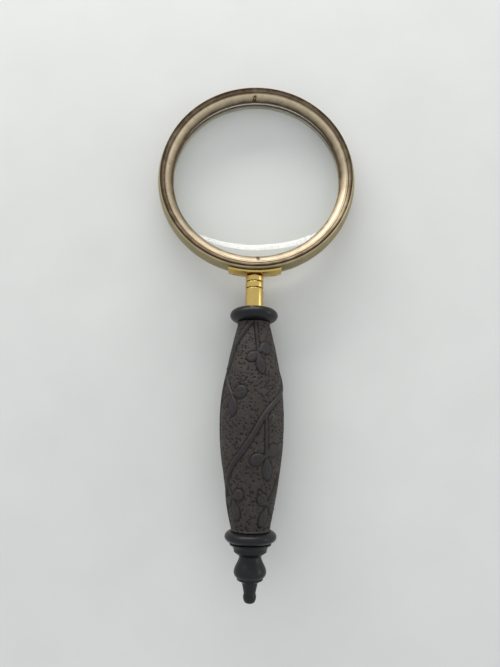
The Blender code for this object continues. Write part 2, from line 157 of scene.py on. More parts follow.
def linear(hex_colour):
    """Turns an sRGB hex string into linear red, green and blue, and an alpha of 1."""
    channels = [int(hex_colour[i : i + 2], 16) / 255 for i in (1, 3, 5)]
    return (*(c / 12.92 if c < 0.04045 else ((c + 0.055) / 1.055) ** 2.4 for c in channels), 1.0)


class BrassSizes(bpy.types.PropertyGroup):
    """Sizes of the brass pieces that the frame doesn't give."""

    rib_count: IntProperty(name="Ribs", description="Milled ribs round the rim", default=290, min=60)
    rib_depth: length(0.24, "Rib depth", "Depth of the grooves between the milled ribs")
    rib_slant: FloatProperty(
        name="Rib slant",
        description="Angle of the ribs from the lens axis",
        default=math.radians(28),
        subtype="ANGLE",
    )
    ring_pitch: length(0.794, "Ring pitch", "Thread pitch of the retaining ring, 32 to the inch")
    stud_pitch: length(0.977, "Stud pitch", "Thread pitch of the neck stud, 26 to the inch")
    thread_depth: length(0.34, "Thread depth", "Depth of both threads")
    edge_round: length(0.12, "Edge round", "Rounding of the filed and polished edges")
    bright: colour(linear("#d9bb70"), "Bright brass", "Polished, lacquered brass")
    dull: colour(linear("#4a3b2a"), "Patina", "Brown patina of old brass")


class CarvingSizes(bpy.types.PropertyGroup):
    """Sizes of the carving on the grip."""

    ground_depth: length(0.5, "Ground depth", "How far the ground lies below the leaves")
    vine_width: length(1.9, "Vine width", "Width of the two winding vines")
    stalk_width: length(1.0, "Stalk width", "Width of the stalks that carry the leaves")
    pit_spacing: length(1.45, "Pit spacing", "Spacing of the punch marks in the ground")
    pit_depth: length(0.36, "Pit depth", "Depth of the punch marks")
    repeats: IntProperty(name="Repeats", description="Times the sprigs go round", default=2, min=1)
    ground: colour(linear("#2f2a28"), "Ground", "Stained wood of the punched ground")
    leaf: colour(linear("#1f1c1c"), "Leaves", "Rubbed and waxed wood of leaves and vines")


class StageSettings(bpy.types.PropertyGroup):
    """Floor colour and camera."""

    floor: colour(linear("#dcdcd9"), "Floor", "Pale matt table")
    focal: FloatProperty(
        name="Focal length", description="Focal length on a 36 mm sensor", default=27.0, unit="CAMERA"
    )
    pitch: FloatProperty(
        name="Pitch", description="Lean of the view from straight down", default=math.radians(7.7),
        subtype="ANGLE",
    )
    roll: FloatProperty(
        name="Roll", description="Turn of the view about its own axis", default=math.radians(1.0),
        subtype="ANGLE",
    )


# ------------------------------------------------------------------ small tools


def add(tree, kind, inputs=(), **settings):
    """Adds a node with its settings and links.

    Inputs are in order, or pair a socket's name or number with what goes in: a value, another node's
    output, or another node, which stands for its first output.
    """
    node = tree.nodes.new(kind)
    for key, value in settings.items():
        setattr(node, key, value)
    for key, value in inputs.items() if isinstance(inputs, dict) else enumerate(inputs):
        if isinstance(value, bpy.types.Node):
            value = value.outputs[0]
        if isinstance(value, bpy.types.NodeSocket):
            tree.links.new(value, node.inputs[key])
        else:
            node.inputs[key].default_value = value
    return node


def new_tree(name, inputs):
    """A Geometry Nodes tree with its named inputs. Returns it with the outputs of its Group Input."""
    tree = bpy.data.node_groups.new(name, "GeometryNodeTree")
    tree.is_modifier = True
    tree.interface.new_socket("Geometry", in_out="OUTPUT", socket_type="NodeSocketGeometry")
    tree.interface.new_socket("Geometry", in_out="INPUT", socket_type="NodeSocketGeometry")
    for name, kind in inputs:
        tree.interface.new_socket(name, in_out="INPUT", socket_type="NodeSocket" + kind)
    return tree, tree.nodes.new("NodeGroupInput").outputs


def close_tree(tree, geometry, finish):
    """Ends a tree: instances become real and get their material."""
    real = add(tree, "GeometryNodeRealizeInstances", (geometry,))
    painted = add(tree, "GeometryNodeSetMaterial", {"Geometry": real, "Material": finish})
    add(tree, "NodeGroupOutput", (painted,))


def worked(mesh, tree, settings):
    """The mesh after a Geometry Nodes tree, as a plain mesh."""
    blank = bpy.data.objects.new(mesh.name + "_blank", mesh)
    bpy.context.scene.collection.objects.link(blank)
    modifier = blank.modifiers.new(tree.name, "NODES")
    modifier.node_group = tree
    for item in tree.interface.items_tree:
        if item.in_out == "INPUT" and item.name in settings:
            modifier[item.identifier] = settings[item.name]
    graph = bpy.context.evaluated_depsgraph_get()
    made = bpy.data.meshes.new_from_object(blank.evaluated_get(graph), depsgraph=graph)
    bpy.data.objects.remove(blank)
    return made


def softened(corners):
    """Outline of (radius, height, round) corners, each rounded by an arc of that radius."""
    outline = []
    for index, (radius, height, size) in enumerate(corners):
        here = Vector((radius, height))
        if not size:
            outline.append((radius, height))
            continue
        before = (Vector(corners[index - 1][:2]) - here).normalized()
        after = (Vector(corners[(index + 1) % len(corners)][:2]) - here).normalized()
        half = before.angle(after) / 2
        centre = here + (before + after).normalized() * size / math.sin(half)
        start = here + before * size / math.tan(half) - centre
        end = here + after * size / math.tan(half) - centre
        for step in range(5):
            outline.append(tuple(centre + start.lerp(end, step / 4).normalized() * size))
    return outline


def spread(start, end, steps):
    """Points from one (radius, height) point to another, with both ends."""
    return [
        (start[0] + (end[0] - start[0]) * i / steps, start[1] + (end[1] - start[1]) * i / steps)
        for i in range(steps + 1)
    ]


def curved(centre, radii, start_deg, end_deg, steps):
    """Points of an elliptic arc, as (radius, height)."""
    points = []
    for step in range(steps + 1):
        angle = math.radians(start_deg + (end_deg - start_deg) * step / steps)
        points.append((centre[0] + radii[0] * math.cos(angle), centre[1] + radii[1] * math.sin(angle)))
    return points


def lathe(name, profile, steps, marks=()):
    """Turns (radius, height) points, outer side downwards, about Z: a loop unless it starts on the axis.

    Marks pairs the name of an attribute with a function that gives its value at (radius, height).
    """
    rows, points = [], []
    for radius, height in profile:
        if radius > 0:
            rows.append(range(len(points), len(points) + steps))
            for i in range(steps):
                angle = math.tau * i / steps
                points.append((radius * math.cos(angle), radius * math.sin(angle), height))
        else:
            rows.append([len(points)] * steps)
            points.append((0.0, 0.0, height))
    pairs = list(zip(rows, rows[1:]))
    if profile[0][0] > 0:
        pairs.append((rows[-1], rows[0]))
    faces = []
    for upper, lower in pairs:
        for i in range(steps):
            j = (i + 1) % steps
            faces.append(list(dict.fromkeys((upper[i], lower[i], lower[j], upper[j]))))
    mesh = bpy.data.meshes.new(name)
    mesh.from_pydata(points, [], faces)
    mesh.update()
    for mark, value in marks:
        layer = mesh.attributes.new(mark, "FLOAT", "POINT")
        layer.data.foreach_set("value", [value(math.hypot(x, y), z) for x, y, z in points])
    return mesh


def place(name, mesh, own, nodes, crease_deg=35.0):
    """Lays a finished mesh in its place as a piece that stands for its CAD nodes, with their finish."""
    mesh.name = name
    mesh.transform(own)
    slot = SLOTS[nodes[0]]
    mesh.materials.clear()
    mesh.materials.append(finish(slot))
    mesh.shade_smooth()
    mesh.set_sharp_from_angle(angle=math.radians(crease_deg))
    piece = bpy.data.objects.new(name, mesh)
    bpy.context.scene.collection.objects.link(piece)
    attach(piece, frame["nodes"][nodes[0]]["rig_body"])
    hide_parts(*nodes)
    return piece


def bored(mesh, bars):
    """The mesh with round holes. Bars are (place, radius, lowest, highest) of the drills."""
    solid = bpy.data.objects.new("work", mesh)
    bpy.context.scene.collection.objects.link(solid)
    drills = []
    for place_of, radius, low, high in bars:
        drill = lathe("drill", [(0, high), (radius, high), (radius, low), (0, low)], 40)
        drill.transform(place_of)
        drills.append(bpy.data.objects.new("drill", drill))
        bpy.context.scene.collection.objects.link(drills[-1])
        hole = solid.modifiers.new("hole", "BOOLEAN")
        hole.operation = "DIFFERENCE"
        hole.solver = "EXACT"
        hole.object = drills[-1]
    graph = bpy.context.evaluated_depsgraph_get()
    made = bpy.data.meshes.new_from_object(solid.evaluated_get(graph), depsgraph=graph)
    for used in [solid, *drills]:
        bpy.data.objects.remove(used)
    return made


# ------------------------------------------------------------------ finishes


def new_finish(name):
    """An empty material. Returns it with its tree and its Object coordinates."""
    material = bpy.data.materials.new(name)
    material.use_nodes = True
    tree = material.node_tree
    tree.nodes.clear()
    return material, tree, add(tree, "ShaderNodeTexCoord").outputs["Object"]


def brass_finish(name, base, tarnish, rough, tarnish_share):
    """Brass: copper and zinc, turned and polished, browned where fingers and cloth don't reach.

    A warm yellow metal with soft cloudy tarnish and fine hairlines from wiping.
    """
    material, tree, place_of = new_finish(name)
    cloud = add(tree, NOISE, {"Vector": place_of, "Scale": 1 / (6 * MM), "Detail": 4.0})
    cloudy = add(tree, RANGE, (cloud, 0.42, 0.72))
    tarnished = add(tree, MATH, (cloudy, tarnish_share), operation="MULTIPLY")
    grime = add(tree, "ShaderNodeAttribute", attribute_name="grime").outputs["Fac"]
    grimy = add(tree, MATH, (grime, 0.85), operation="MULTIPLY")
    share = add(tree, MATH, (tarnished, grimy), operation="MAXIMUM", use_clamp=True)
    tint = add(tree, MIX, {0: share, 6: base, 7: tarnish}, data_type="RGBA").outputs[2]
    fine = add(tree, NOISE, {"Vector": place_of, "Scale": 1 / (0.5 * MM), "Detail": 5.0})
    worn = add(tree, MATH, (fine, 0.14, rough - 0.07), operation="MULTIPLY_ADD")
    rougher = add(tree, MATH, (share, 0.2, worn), operation="MULTIPLY_ADD", use_clamp=True)
    bump = add(tree, "ShaderNodeBump", {"Height": fine, "Distance": 0.01 * MM, "Strength": 0.5})
    shader = add(tree, PRINCIPLED, {
        "Base Color": tint, "Metallic": 1.0, "Roughness": rougher, "Normal": bump,
    })
    add(tree, OUTPUT, {"Surface": shader})
    return material


def milled_brass():
    """Milled brass: paler than the polished pieces, with grime in the bottom of each groove."""
    return brass_finish("milled brass", linear("#bdb08c"), linear("#54482f"), 0.34, 0.4)


def polished_brass():
    """Polished brass: yellow and bright, with little tarnish."""
    bright = tuple(bpy.context.scene.glass_brass.bright)
    return brass_finish("polished brass", bright, linear("#8a6a30"), 0.26, 0.25)


def aged_brass():
    """Patinated brass of an old ring, mottled at random, with a painted reflection: the flatter inner slope
    is made light-coloured, standing for the bright ceiling it mirrors.
    """
    material, tree, place_of = new_finish("aged brass")
    dull = tuple(bpy.context.scene.glass_brass.dull)
    # Painted reflection: a mask from the mesh turns the flatter inner slope light-coloured.
    rubbed = add(tree, "ShaderNodeAttribute", attribute_name="rubbed").outputs["Fac"]
    cloud = add(tree, NOISE, {"Vector": place_of, "Scale": 1 / (4 * MM), "Detail": 5.0})
    uneven = add(tree, MATH, (cloud, 0.5), operation="SUBTRACT")
    share = add(tree, MATH, (uneven, 0.5, rubbed), operation="MULTIPLY_ADD", use_clamp=True)
    # Light-coloured brass for the painted reflection on the inner slope, and for the random mottle.
    pale_and_reflection = linear("#d8c6a8")
    base = add(tree, MIX, {0: share, 6: dull, 7: pale_and_reflection}, data_type="RGBA").outputs[2]
    speck = add(tree, NOISE, {"Vector": place_of, "Scale": 1 / (0.9 * MM), "Detail": 3.0})
    fleck = add(tree, RANGE, (speck, 0.6, 0.75))
    flecked = add(tree, MATH, (fleck, 0.45), operation="MULTIPLY")
    dark = linear("#2b2118")
    spotted = add(tree, MIX, {0: flecked, 6: base, 7: dark}, data_type="RGBA").outputs[2]
    rougher = add(tree, MATH, (cloud, 0.2, 0.3), operation="MULTIPLY_ADD")
    bump = add(tree, "ShaderNodeBump", {"Height": cloud, "Distance": 0.02 * MM, "Strength": 0.6})
    shader = add(tree, PRINCIPLED, {
        "Base Color": spotted, "Metallic": 1.0, "Roughness": rougher, "Normal": bump,
    })
    add(tree, OUTPUT, {"Surface": shader})
    return material


def lens_glass():
    """Crown glass, ground and polished: clear, with the faintest green and a little fine dust."""
    material, tree, place_of = new_finish("crown glass")
    speck = add(tree, NOISE, {"Vector": place_of, "Scale": 1 / (0.8 * MM), "Detail": 6.0})
    dust = add(tree, RANGE, (speck, 0.62, 0.8))
    thin = add(tree, MATH, (dust, 0.05), operation="MULTIPLY")
    clean, dusty = linear("#fcfefd"), linear("#e6e9e7")
    tint = add(tree, MIX, {0: thin, 6: clean, 7: dusty}, data_type="RGBA").outputs[2]
    blur = add(tree, MATH, (dust, 0.04), operation="MULTIPLY")
    shader = add(tree, PRINCIPLED, {
        "Base Color": tint, "Roughness": blur, "Transmission Weight": 1.0, "IOR": 1.52,
    })

    # Light on its way to the table goes straight through, as real glass passes nearly all of it.
    path = add(tree, "ShaderNodeLightPath").outputs
    both = (path["Is Shadow Ray"], path["Is Diffuse Ray"])
    passing = add(tree, MATH, both, operation="MAXIMUM")
    clear = add(tree, "ShaderNodeBsdfTransparent")
    add(tree, OUTPUT, {"Surface": add(tree, "ShaderNodeMixShader", (passing, shader, clear))})
    return material


def packing_card():
    """Grey-brown card, cut with a knife: fibrous and quite matt."""
    material, tree, place_of = new_finish("packing card")
    fibre = add(tree, NOISE, {"Vector": place_of, "Scale": 1 / (0.4 * MM), "Detail": 6.0})
    dark, light = linear("#4a3a28"), linear("#7d6849")
    tint = add(tree, MIX, {0: fibre, 6: dark, 7: light}, data_type="RGBA").outputs[2]
    bump = add(tree, "ShaderNodeBump", {"Height": fibre, "Distance": 0.03 * MM})
    shader = add(tree, PRINCIPLED, {"Base Color": tint, "Roughness": 0.9, "Normal": bump})
    add(tree, OUTPUT, {"Surface": shader})
    return material


def turned_coordinates(tree, place_of):
    """Object coordinates with Z laid along the handle's axis, so that patterns run with the turning."""
    inverse = HANDLE.inverted()
    inputs = {"Vector": place_of, "Location": inverse.translation, "Rotation": inverse.to_euler()}
    return add(tree, "ShaderNodeMapping", inputs)


def ebonised_wood():
    """Close-grained fruitwood, turned, stained black and waxed: satin black with faint turning lines."""
    material, tree, place_of = new_finish("ebonised wood")
    along = add(tree, "ShaderNodeSeparateXYZ", (turned_coordinates(tree, place_of),)).outputs[2]
    lines = add(tree, NOISE, {"W": along, "Scale": 1 / (0.35 * MM), "Detail": 2.0}, noise_dimensions="1D")
    streak = add(tree, NOISE, {"Vector": place_of, "Scale": 1 / (1.5 * MM), "Detail": 4.0})
    black, grey = linear("#0f0f11"), linear("#1b1b1d")
    tint = add(tree, MIX, {0: streak, 6: black, 7: grey}, data_type="RGBA").outputs[2]
    rougher = add(tree, MATH, (streak, 0.2, 0.26), operation="MULTIPLY_ADD")
    height = add(tree, MATH, (streak, 0.3, lines), operation="MULTIPLY_ADD")
    bump = add(tree, "ShaderNodeBump", {"Height": height, "Distance": 0.03 * MM, "Strength": 0.7})
    shader = add(tree, PRINCIPLED, {
        "Base Color": tint, "Roughness": rougher, "Specular IOR Level": 0.3, "Normal": bump,
    })
    add(tree, OUTPUT, {"Surface": shader})
    return material


def carved_wood():
    """Dark stained hardwood, carved and punched by hand, then waxed.

    Raised leaves and vines are smoothed by rubbing and near black, and the rough ground stays brown and
    dusty, with painted shade darkening its trench and punch marks.
    """
    sizes = bpy.context.scene.glass_carving
    material, tree, place_of = new_finish("carved wood")
    raised = add(tree, "ShaderNodeAttribute", attribute_name="raised").outputs["Fac"]
    # Painted shade: a mask from the carving that darkens the trench and the punch marks.
    pit = add(tree, "ShaderNodeAttribute", attribute_name="pit").outputs["Fac"]
    along = {"Vector": turned_coordinates(tree, place_of), "Scale": (1.0, 1.0, 0.12)}
    stretched = add(tree, "ShaderNodeMapping", along)
    grain = add(tree, NOISE, {"Vector": stretched, "Scale": 1 / (0.6 * MM), "Detail": 5.0})
    cloud = add(tree, NOISE, {"Vector": place_of, "Scale": 1 / (7 * MM), "Detail": 3.0})
    cloudy = add(tree, RANGE, (cloud, 0.35, 0.7))
    ground = tuple(sizes.ground)
    for share, most, colour_of in (
        (add(tree, RANGE, (grain, 0.3, 0.7)), 1.0, "#453d38"),
        (cloudy, 0.6, "#2e2622"),
        # Painted shade: the trench and punch marks go near black.
        (pit, 0.9, "#0c0a09"),
    ):
        share = add(tree, MATH, (share, most), operation="MULTIPLY")
        inputs = {0: share, 6: ground, 7: linear(colour_of)}
        ground = add(tree, MIX, inputs, data_type="RGBA").outputs[2]
    inputs = {0: add(tree, RANGE, (grain, 0.3, 0.75)), 6: tuple(sizes.leaf), 7: linear("#302d2d")}
    leaf = add(tree, MIX, inputs, data_type="RGBA").outputs[2]
    tint = add(tree, MIX, {0: raised, 6: ground, 7: leaf}, data_type="RGBA").outputs[2]
    rough = add(tree, RANGE, (raised, 0.0, 1.0, 0.56, 0.4))
    rougher = add(tree, MATH, (grain, 0.15, rough), operation="MULTIPLY_ADD")
    bump = add(tree, "ShaderNodeBump", {"Height": grain, "Distance": 0.06 * MM, "Strength": 0.8})
    shader = add(tree, PRINCIPLED, {
        "Base Color": tint, "Roughness": rougher, "Specular IOR Level": 0.35, "Normal": bump,
    })
    add(tree, OUTPUT, {"Surface": shader})
    return material


def mild_steel():
    """Plain drawn steel, oiled and slightly browned."""
    material, tree, place_of = new_finish("mild steel")
    speck = add(tree, NOISE, {"Vector": place_of, "Scale": 1 / (1.2 * MM), "Detail": 4.0})
    rust = add(tree, RANGE, (speck, 0.5, 0.7))
    clean, brown = linear("#8b8a88"), linear("#5a4a3c")
    tint = add(tree, MIX, {0: rust, 6: clean, 7: brown}, data_type="RGBA").outputs[2]
    shader = add(tree, PRINCIPLED, {"Base Color": tint, "Metallic": 1.0, "Roughness": 0.4})
    add(tree, OUTPUT, {"Surface": shader})
    return material


FINISHES = {
    "milled_brass": milled_brass,
    "aged_brass": aged_brass,
    "lens_glass": lens_glass,
    "packing_card": packing_card,
    "polished_brass": polished_brass,
    "ebonised_wood": ebonised_wood,
    "carved_wood": carved_wood,
    "mild_steel": mild_steel,
}
made_finishes = {}


def finish(slot):
    """The material of one of the record's slots, made once."""
    if slot not in made_finishes:
        made_finishes[slot] = FINISHES[slot]()
    return made_finishes[slot]


# ------------------------------------------------------------------ shapes that follow a rule


def groove_tree():
    """Cuts grooves into a turned surface: ribs across a wall, or a thread along a bar.

    The point attribute "worked" says where. "Grime" is left in the bottom of each groove.
    """
    tree, given = new_tree("Cut grooves", [
        ("Grooves round", "Float"), ("Grooves per metre", "Float"), ("Groove depth", "Float"),
        ("Crest", "Float"), ("Twist per metre", "Float"), ("Finish", "Material"),
    ])
    place_of = add(tree, "GeometryNodeInputPosition")
    x, y, z = add(tree, "ShaderNodeSeparateXYZ", (place_of,)).outputs
    angle = add(tree, MATH, (y, x), operation="ARCTAN2")
    turns = add(tree, MATH, (angle, math.tau), operation="DIVIDE")
    phase = add(tree, MATH, (turns, given["Grooves round"]), operation="MULTIPLY")
    phase = add(tree, MATH, (z, given["Grooves per metre"], phase), operation="MULTIPLY_ADD")
    wave = add(tree, MATH, (phase, 0.5), operation="PINGPONG")
    wave = add(tree, MATH, (wave, 2.0), operation="MULTIPLY")
    wave = add(tree, MATH, (wave, given["Crest"]), operation="POWER")
    hollow = add(tree, MATH, (1.0, wave), operation="SUBTRACT")
    worked_on = add(tree, "GeometryNodeInputNamedAttribute", {"Name": "worked"}, data_type="FLOAT")
    cut = add(tree, MATH, (hollow, worked_on), operation="MULTIPLY")
    depth = add(tree, MATH, (cut, given["Groove depth"]), operation="MULTIPLY")
    sunk = add(tree, MATH, (depth, -1.0), operation="MULTIPLY")
    across = add(tree, "ShaderNodeCombineXYZ", (x, y))
    outward = add(tree, VECTOR, (across,), operation="NORMALIZE")
    shift = add(tree, VECTOR, {0: outward, "Scale": sunk}, operation="SCALE")
    moved = add(tree, VECTOR, (place_of, shift))
    swing = add(tree, MATH, (z, given["Twist per metre"]), operation="MULTIPLY")
    twisted = add(tree, "ShaderNodeVectorRotate", {"Vector": moved, "Angle": swing}, rotation_type="Z_AXIS")
    mark = {"Geometry": given["Geometry"], "Name": "grime", "Value": cut}
    kept = add(tree, "GeometryNodeStoreNamedAttribute", mark, data_type="FLOAT")
    set_to = add(tree, "GeometryNodeSetPosition", {"Geometry": kept, "Position": twisted})
    close_tree(tree, set_to, given["Finish"])
    return tree


def carving_tree():
    """Carves a turned surface down to a punched ground round vines, stalks and leaves.

    The ornament's objects lie on the surface. Each point drops by how far it is from them, and the
    ground gets its punch marks, ripples and a narrow trench beside everything raised.
    """
    tree, given = new_tree("Carve and punch", [
        ("Vines", "Object"), ("Stalks", "Object"), ("Leaves", "Object"), ("Leaf edges", "Object"),
        ("Leaf veins", "Object"), ("Vine width", "Float"), ("Stalk width", "Float"),
        ("Ground depth", "Float"), ("Pit spacing", "Float"), ("Pit depth", "Float"), ("Finish", "Material"),
    ])
    place_of = add(tree, "GeometryNodeInputPosition")
    x, y, z = add(tree, "ShaderNodeSeparateXYZ", (place_of,)).outputs
    worked_on = add(tree, "GeometryNodeInputNamedAttribute", {"Name": "worked"}, data_type="FLOAT")
    smooth = {"interpolation_type": "SMOOTHSTEP"}

    away = {}
    for thing in ("Vines", "Stalks", "Leaves", "Leaf edges", "Leaf veins"):
        info = add(tree, "GeometryNodeObjectInfo", {"Object": given[thing]}, transform_space="ORIGINAL")
        inputs = {0: info.outputs["Geometry"], "Sample Position": place_of}
        element = "FACES" if thing == "Leaves" else "EDGES"
        near = add(tree, "GeometryNodeProximity", inputs, target_element=element)
        away[thing] = near.outputs["Distance"]

    raised, beside = [], []
    for thing, width in (("Vines", "Vine width"), ("Stalks", "Stalk width")):
        reach = add(tree, MATH, (given[width], 0.5), operation="MULTIPLY")
        share = add(tree, MATH, (away[thing], reach), operation="DIVIDE", use_clamp=True)
        squared = add(tree, MATH, (share, share), operation="MULTIPLY")
        rest = add(tree, MATH, (1.0, squared), operation="SUBTRACT")
        raised.append(add(tree, MATH, (rest,), operation="SQRT"))
        beside.append(add(tree, MATH, (away[thing], reach), operation="SUBTRACT"))

    # Leaves: negative inside the outline. Their tops are slightly domed, with a vein cut down the middle.
    inside = add(tree, MATH, (away["Leaves"], 0.09 * MM), operation="LESS_THAN")
    within = add(tree, MATH, (inside, away["Leaf edges"]), operation="MULTIPLY")
    signed = add(tree, MATH, (away["Leaves"], within), operation="SUBTRACT")
    leaf = add(tree, RANGE, (signed, 0.12 * MM, -0.3 * MM, 0.0, 0.82), **smooth)
    dome = add(tree, RANGE, (signed, -0.2 * MM, -1.6 * MM, 0.0, 0.18), **smooth)
    vein = add(tree, RANGE, (away["Leaf veins"], 0.4 * MM, 0.0, 0.0, 0.3), **smooth)
    vein = add(tree, MATH, (vein, leaf), operation="MULTIPLY")
    domed = add(tree, MATH, (leaf, dome), operation="ADD")
    raised.append(add(tree, MATH, (domed, vein), operation="SUBTRACT"))
    beside.append(signed)
    stalks = add(tree, MATH, (raised[1], 0.8), operation="MULTIPLY")
    top = add(tree, MATH, (raised[0], stalks), operation="MAXIMUM")
    top = add(tree, MATH, (top, raised[2]), operation="MAXIMUM")
    clear = add(tree, MATH, (beside[0], beside[1]), operation="MINIMUM")
    clear = add(tree, MATH, (clear, beside[2]), operation="MINIMUM")
    on_ground = add(tree, RANGE, (clear, -0.05 * MM, 0.25 * MM), **smooth)

    # Ground: jittered punch marks, with ripples in patches, and the trench.
    grid = add(tree, MATH, (1.0, given["Pit spacing"]), operation="DIVIDE")
    flat = add(tree, VECTOR, (place_of, (1.0, 1.0, 1.25)), operation="MULTIPLY")
    cells = add(tree, "ShaderNodeTexVoronoi", {"Vector": flat, "Scale": grid, "Randomness": 0.85})
    pits = add(tree, RANGE, (cells.outputs["Distance"], 0.52, 0.12), **smooth)
    wander = add(tree, NOISE, {"Vector": place_of, "Scale": 1 / (4 * MM), "Detail": 3.0})
    wavy = add(tree, MATH, (wander, 3.0), operation="MULTIPLY")
    along = add(tree, MATH, (z, 1 / (1.5 * MM), wavy), operation="MULTIPLY_ADD")
    ripple = add(tree, MATH, (along, 0.5), operation="PINGPONG")
    ripple = add(tree, MATH, (ripple, 0.8), operation="MULTIPLY")
    patchy = add(tree, RANGE, (wander, 0.42, 0.6), **smooth)
    marks = add(tree, MATH, (ripple, patchy), operation="MULTIPLY")
    marks = add(tree, MATH, (marks, 0.6, pits), operation="MULTIPLY_ADD")
    marks = add(tree, MATH, (marks, on_ground), operation="MULTIPLY")
    trench = add(tree, RANGE, (clear, 0.9 * MM, 0.15 * MM), **smooth)
    trench = add(tree, MATH, (trench, on_ground), operation="MULTIPLY")

    drop = add(tree, MATH, (1.0, top), operation="SUBTRACT")
    drop = add(tree, MATH, (drop, given["Ground depth"]), operation="MULTIPLY")
    drop = add(tree, MATH, (marks, given["Pit depth"], drop), operation="MULTIPLY_ADD")
    drop = add(tree, MATH, (trench, TRENCH_DEPTH, drop), operation="MULTIPLY_ADD")
    drop = add(tree, MATH, (drop, worked_on), operation="MULTIPLY")
    drop = add(tree, MATH, (drop, -1.0), operation="MULTIPLY")
    across = add(tree, "ShaderNodeCombineXYZ", (x, y))
    outward = add(tree, VECTOR, (across,), operation="NORMALIZE")
    shift = add(tree, VECTOR, {0: outward, "Scale": drop}, operation="SCALE")
    geometry = given["Geometry"]
    # Painted shade: the trench and the punch marks are stored as a mask that darkens the wood's colour
    # there.
    hollow_shade_mask = add(tree, MATH, (marks, trench), operation="MAXIMUM")
    for name, value in (("raised", top), ("pit", hollow_shade_mask)):
        mark = {"Geometry": geometry, "Name": name, "Value": value}
        geometry = add(tree, "GeometryNodeStoreNamedAttribute", mark, data_type="FLOAT")
    set_to = add(tree, "GeometryNodeSetPosition", {"Geometry": geometry, "Offset": shift})
    close_tree(tree, set_to, given["Finish"])
    return tree


# ------------------------------------------------------------------ the carving's layout

# Depths are mm from the grip's top and angles are degrees round it, 0 facing the front of the lens.
VINES = (
    ((-2, -6), (0, -10), (5, -33), (11, -54), (19.5, -64), (27, -76), (36, -86), (46, -92), (56, -98),
     (64, -106), (72, -112), (86, -128)),
    ((-1, 158), (10, 134), (20, 106), (28, 78), (32, 54), (38, 25), (47.5, -1), (53.3, -19),
     (58.1, -39), (63.4, -57), (69, -70), (76, -86), (86, -108)),
)
STALKS = (
    ((-1, 4), (6, 9), (13.5, 12)),
    ((20, -73), (26, -60), (31, -42)),
    ((38.5, 24), (47, 26), (55, 27)),
    ((63, 66), (68, 56), (73.6, 41)),
    ((68.5, 18), (71, 30), (73.6, 41)),
    ((63.5, -58), (67, -56), (71, -46)),
)
# (depth, angle) of each sprig's joint, then (heading, length, width) of its leaflets; heading 0 is down.
SPRIGS = (
    ((13.5, 12), ((115, 6.4, 4.9), (-52, 6.2, 3.7), (9, 9.4, 3.7))),
    ((31, -41), ((103, 6.8, 5.2), (-42, 6.2, 3.6), (8, 8.6, 4.2))),
    ((55, 27), ((-74, 7.0, 4.4), (125, 6.8, 4.7), (10, 9.2, 4.3))),
    ((73.6, 41), ((-128, 5.8, 4.2), (62, 6.0, 3.6), (-14, 8.6, 3.6))),
    ((71, -46), ((112, 5.6, 4.0), (10, 8.6, 3.6), (-62, 4.8, 3.2))),
)


GRIP_TOP = 7.2 * MM
GRIP_FOOT = 8.1 * MM
BELLY_DEPTH = 41.0 * MM


def grip_radius(depth):
    """Radius of the turned grip at a depth below its top: two quarter waves about the belly."""
    if depth < BELLY_DEPTH:
        share = math.sin(math.pi / 2 * max(depth, 0) / BELLY_DEPTH)
        return GRIP_TOP + (GRIP_BELLY - GRIP_TOP) * share
    share = math.cos(math.pi / 2 * (depth - BELLY_DEPTH) / (GRIP_END - GRIP_START - BELLY_DEPTH))
    return GRIP_FOOT + (GRIP_BELLY - GRIP_FOOT) * share


def on_grip(depth, angle_deg):
    """Point on the grip's surface in the handle's own axes, where own Y is up at angle 0."""
    radius = grip_radius(depth)
    angle = math.radians(angle_deg)
    return (radius * math.sin(angle), radius * math.cos(angle), GRIP_START + depth)


def flowing(points, steps=10):
    """Catmull-Rom curve through (depth mm, angle) points, in metres and degrees."""
    points = [np.array((depth * MM, angle)) for depth, angle in points]
    points = [2 * points[0] - points[1], *points, 2 * points[-1] - points[-2]]
    line = []
    for a, b, c, d in zip(points, points[1:], points[2:], points[3:]):
        for step in range(steps):
            t = step / steps
            line.append(0.5 * (2 * b + (c - a) * t + (2 * a - 5 * b + 4 * c - d) * t**2
                               + (3 * b - a - 3 * c + d) * t**3))
    return [tuple(point) for point in line + [points[-2]]]


def ornament(name, lines, repeats, faces=()):
    """An object with lines or faces of (depth, angle) points laid on the grip, repeated round it."""
    points, edges, polygons = [], [], []
    for turn in range(repeats):
        swing = 360.0 * turn / repeats
        for line in lines:
            start = len(points)
            points += [on_grip(depth, angle + swing) for depth, angle in line]
            edges += [(i, i + 1) for i in range(start, len(points) - 1)]
        for grid in faces:
            start, width = len(points), len(grid[0])
            points += [on_grip(depth, angle + swing) for row in grid for depth, angle in row]
            for i in range(len(grid) - 1):
                for j in range(width - 1):
                    corner = start + i * width + j
                    polygons.append((corner, corner + 1, corner + width + 1, corner + width))
    mesh = bpy.data.meshes.new(name)
    mesh.from_pydata(points, edges, polygons)
    made = bpy.data.objects.new(name, mesh)
    bpy.context.scene.collection.objects.link(made)
    return made


def leaflet(joint, heading_deg, long, wide):
    """Grid of (depth, angle) points of one leaflet: narrow at its stalk, broad and notched at its tip."""
    heading = math.radians(heading_deg)
    stations, across = 12, 6
    grid = []
    for i in range(stations + 1):
        share = i / stations
        half = wide / 2 * math.sin(math.pi * min(share, 0.985) ** 1.25) ** 0.62 if share else 0.12
        row = []
        for j in range(-across, across + 1):
            side = j / across
            notch = 0.07 * long * (1 - abs(side)) ** 2 * share**6
            run = (0.5 + share * (long - 0.5) - notch) * MM
            off = half * side * MM
            depth = joint[0] * MM + run * math.cos(heading) - off * math.sin(heading)
            sideways = run * math.sin(heading) + off * math.cos(heading)
            row.append((depth, joint[1] + math.degrees(sideways / grip_radius(depth))))
        grid.append(row)
    return grid


# ------------------------------------------------------------------ pieces


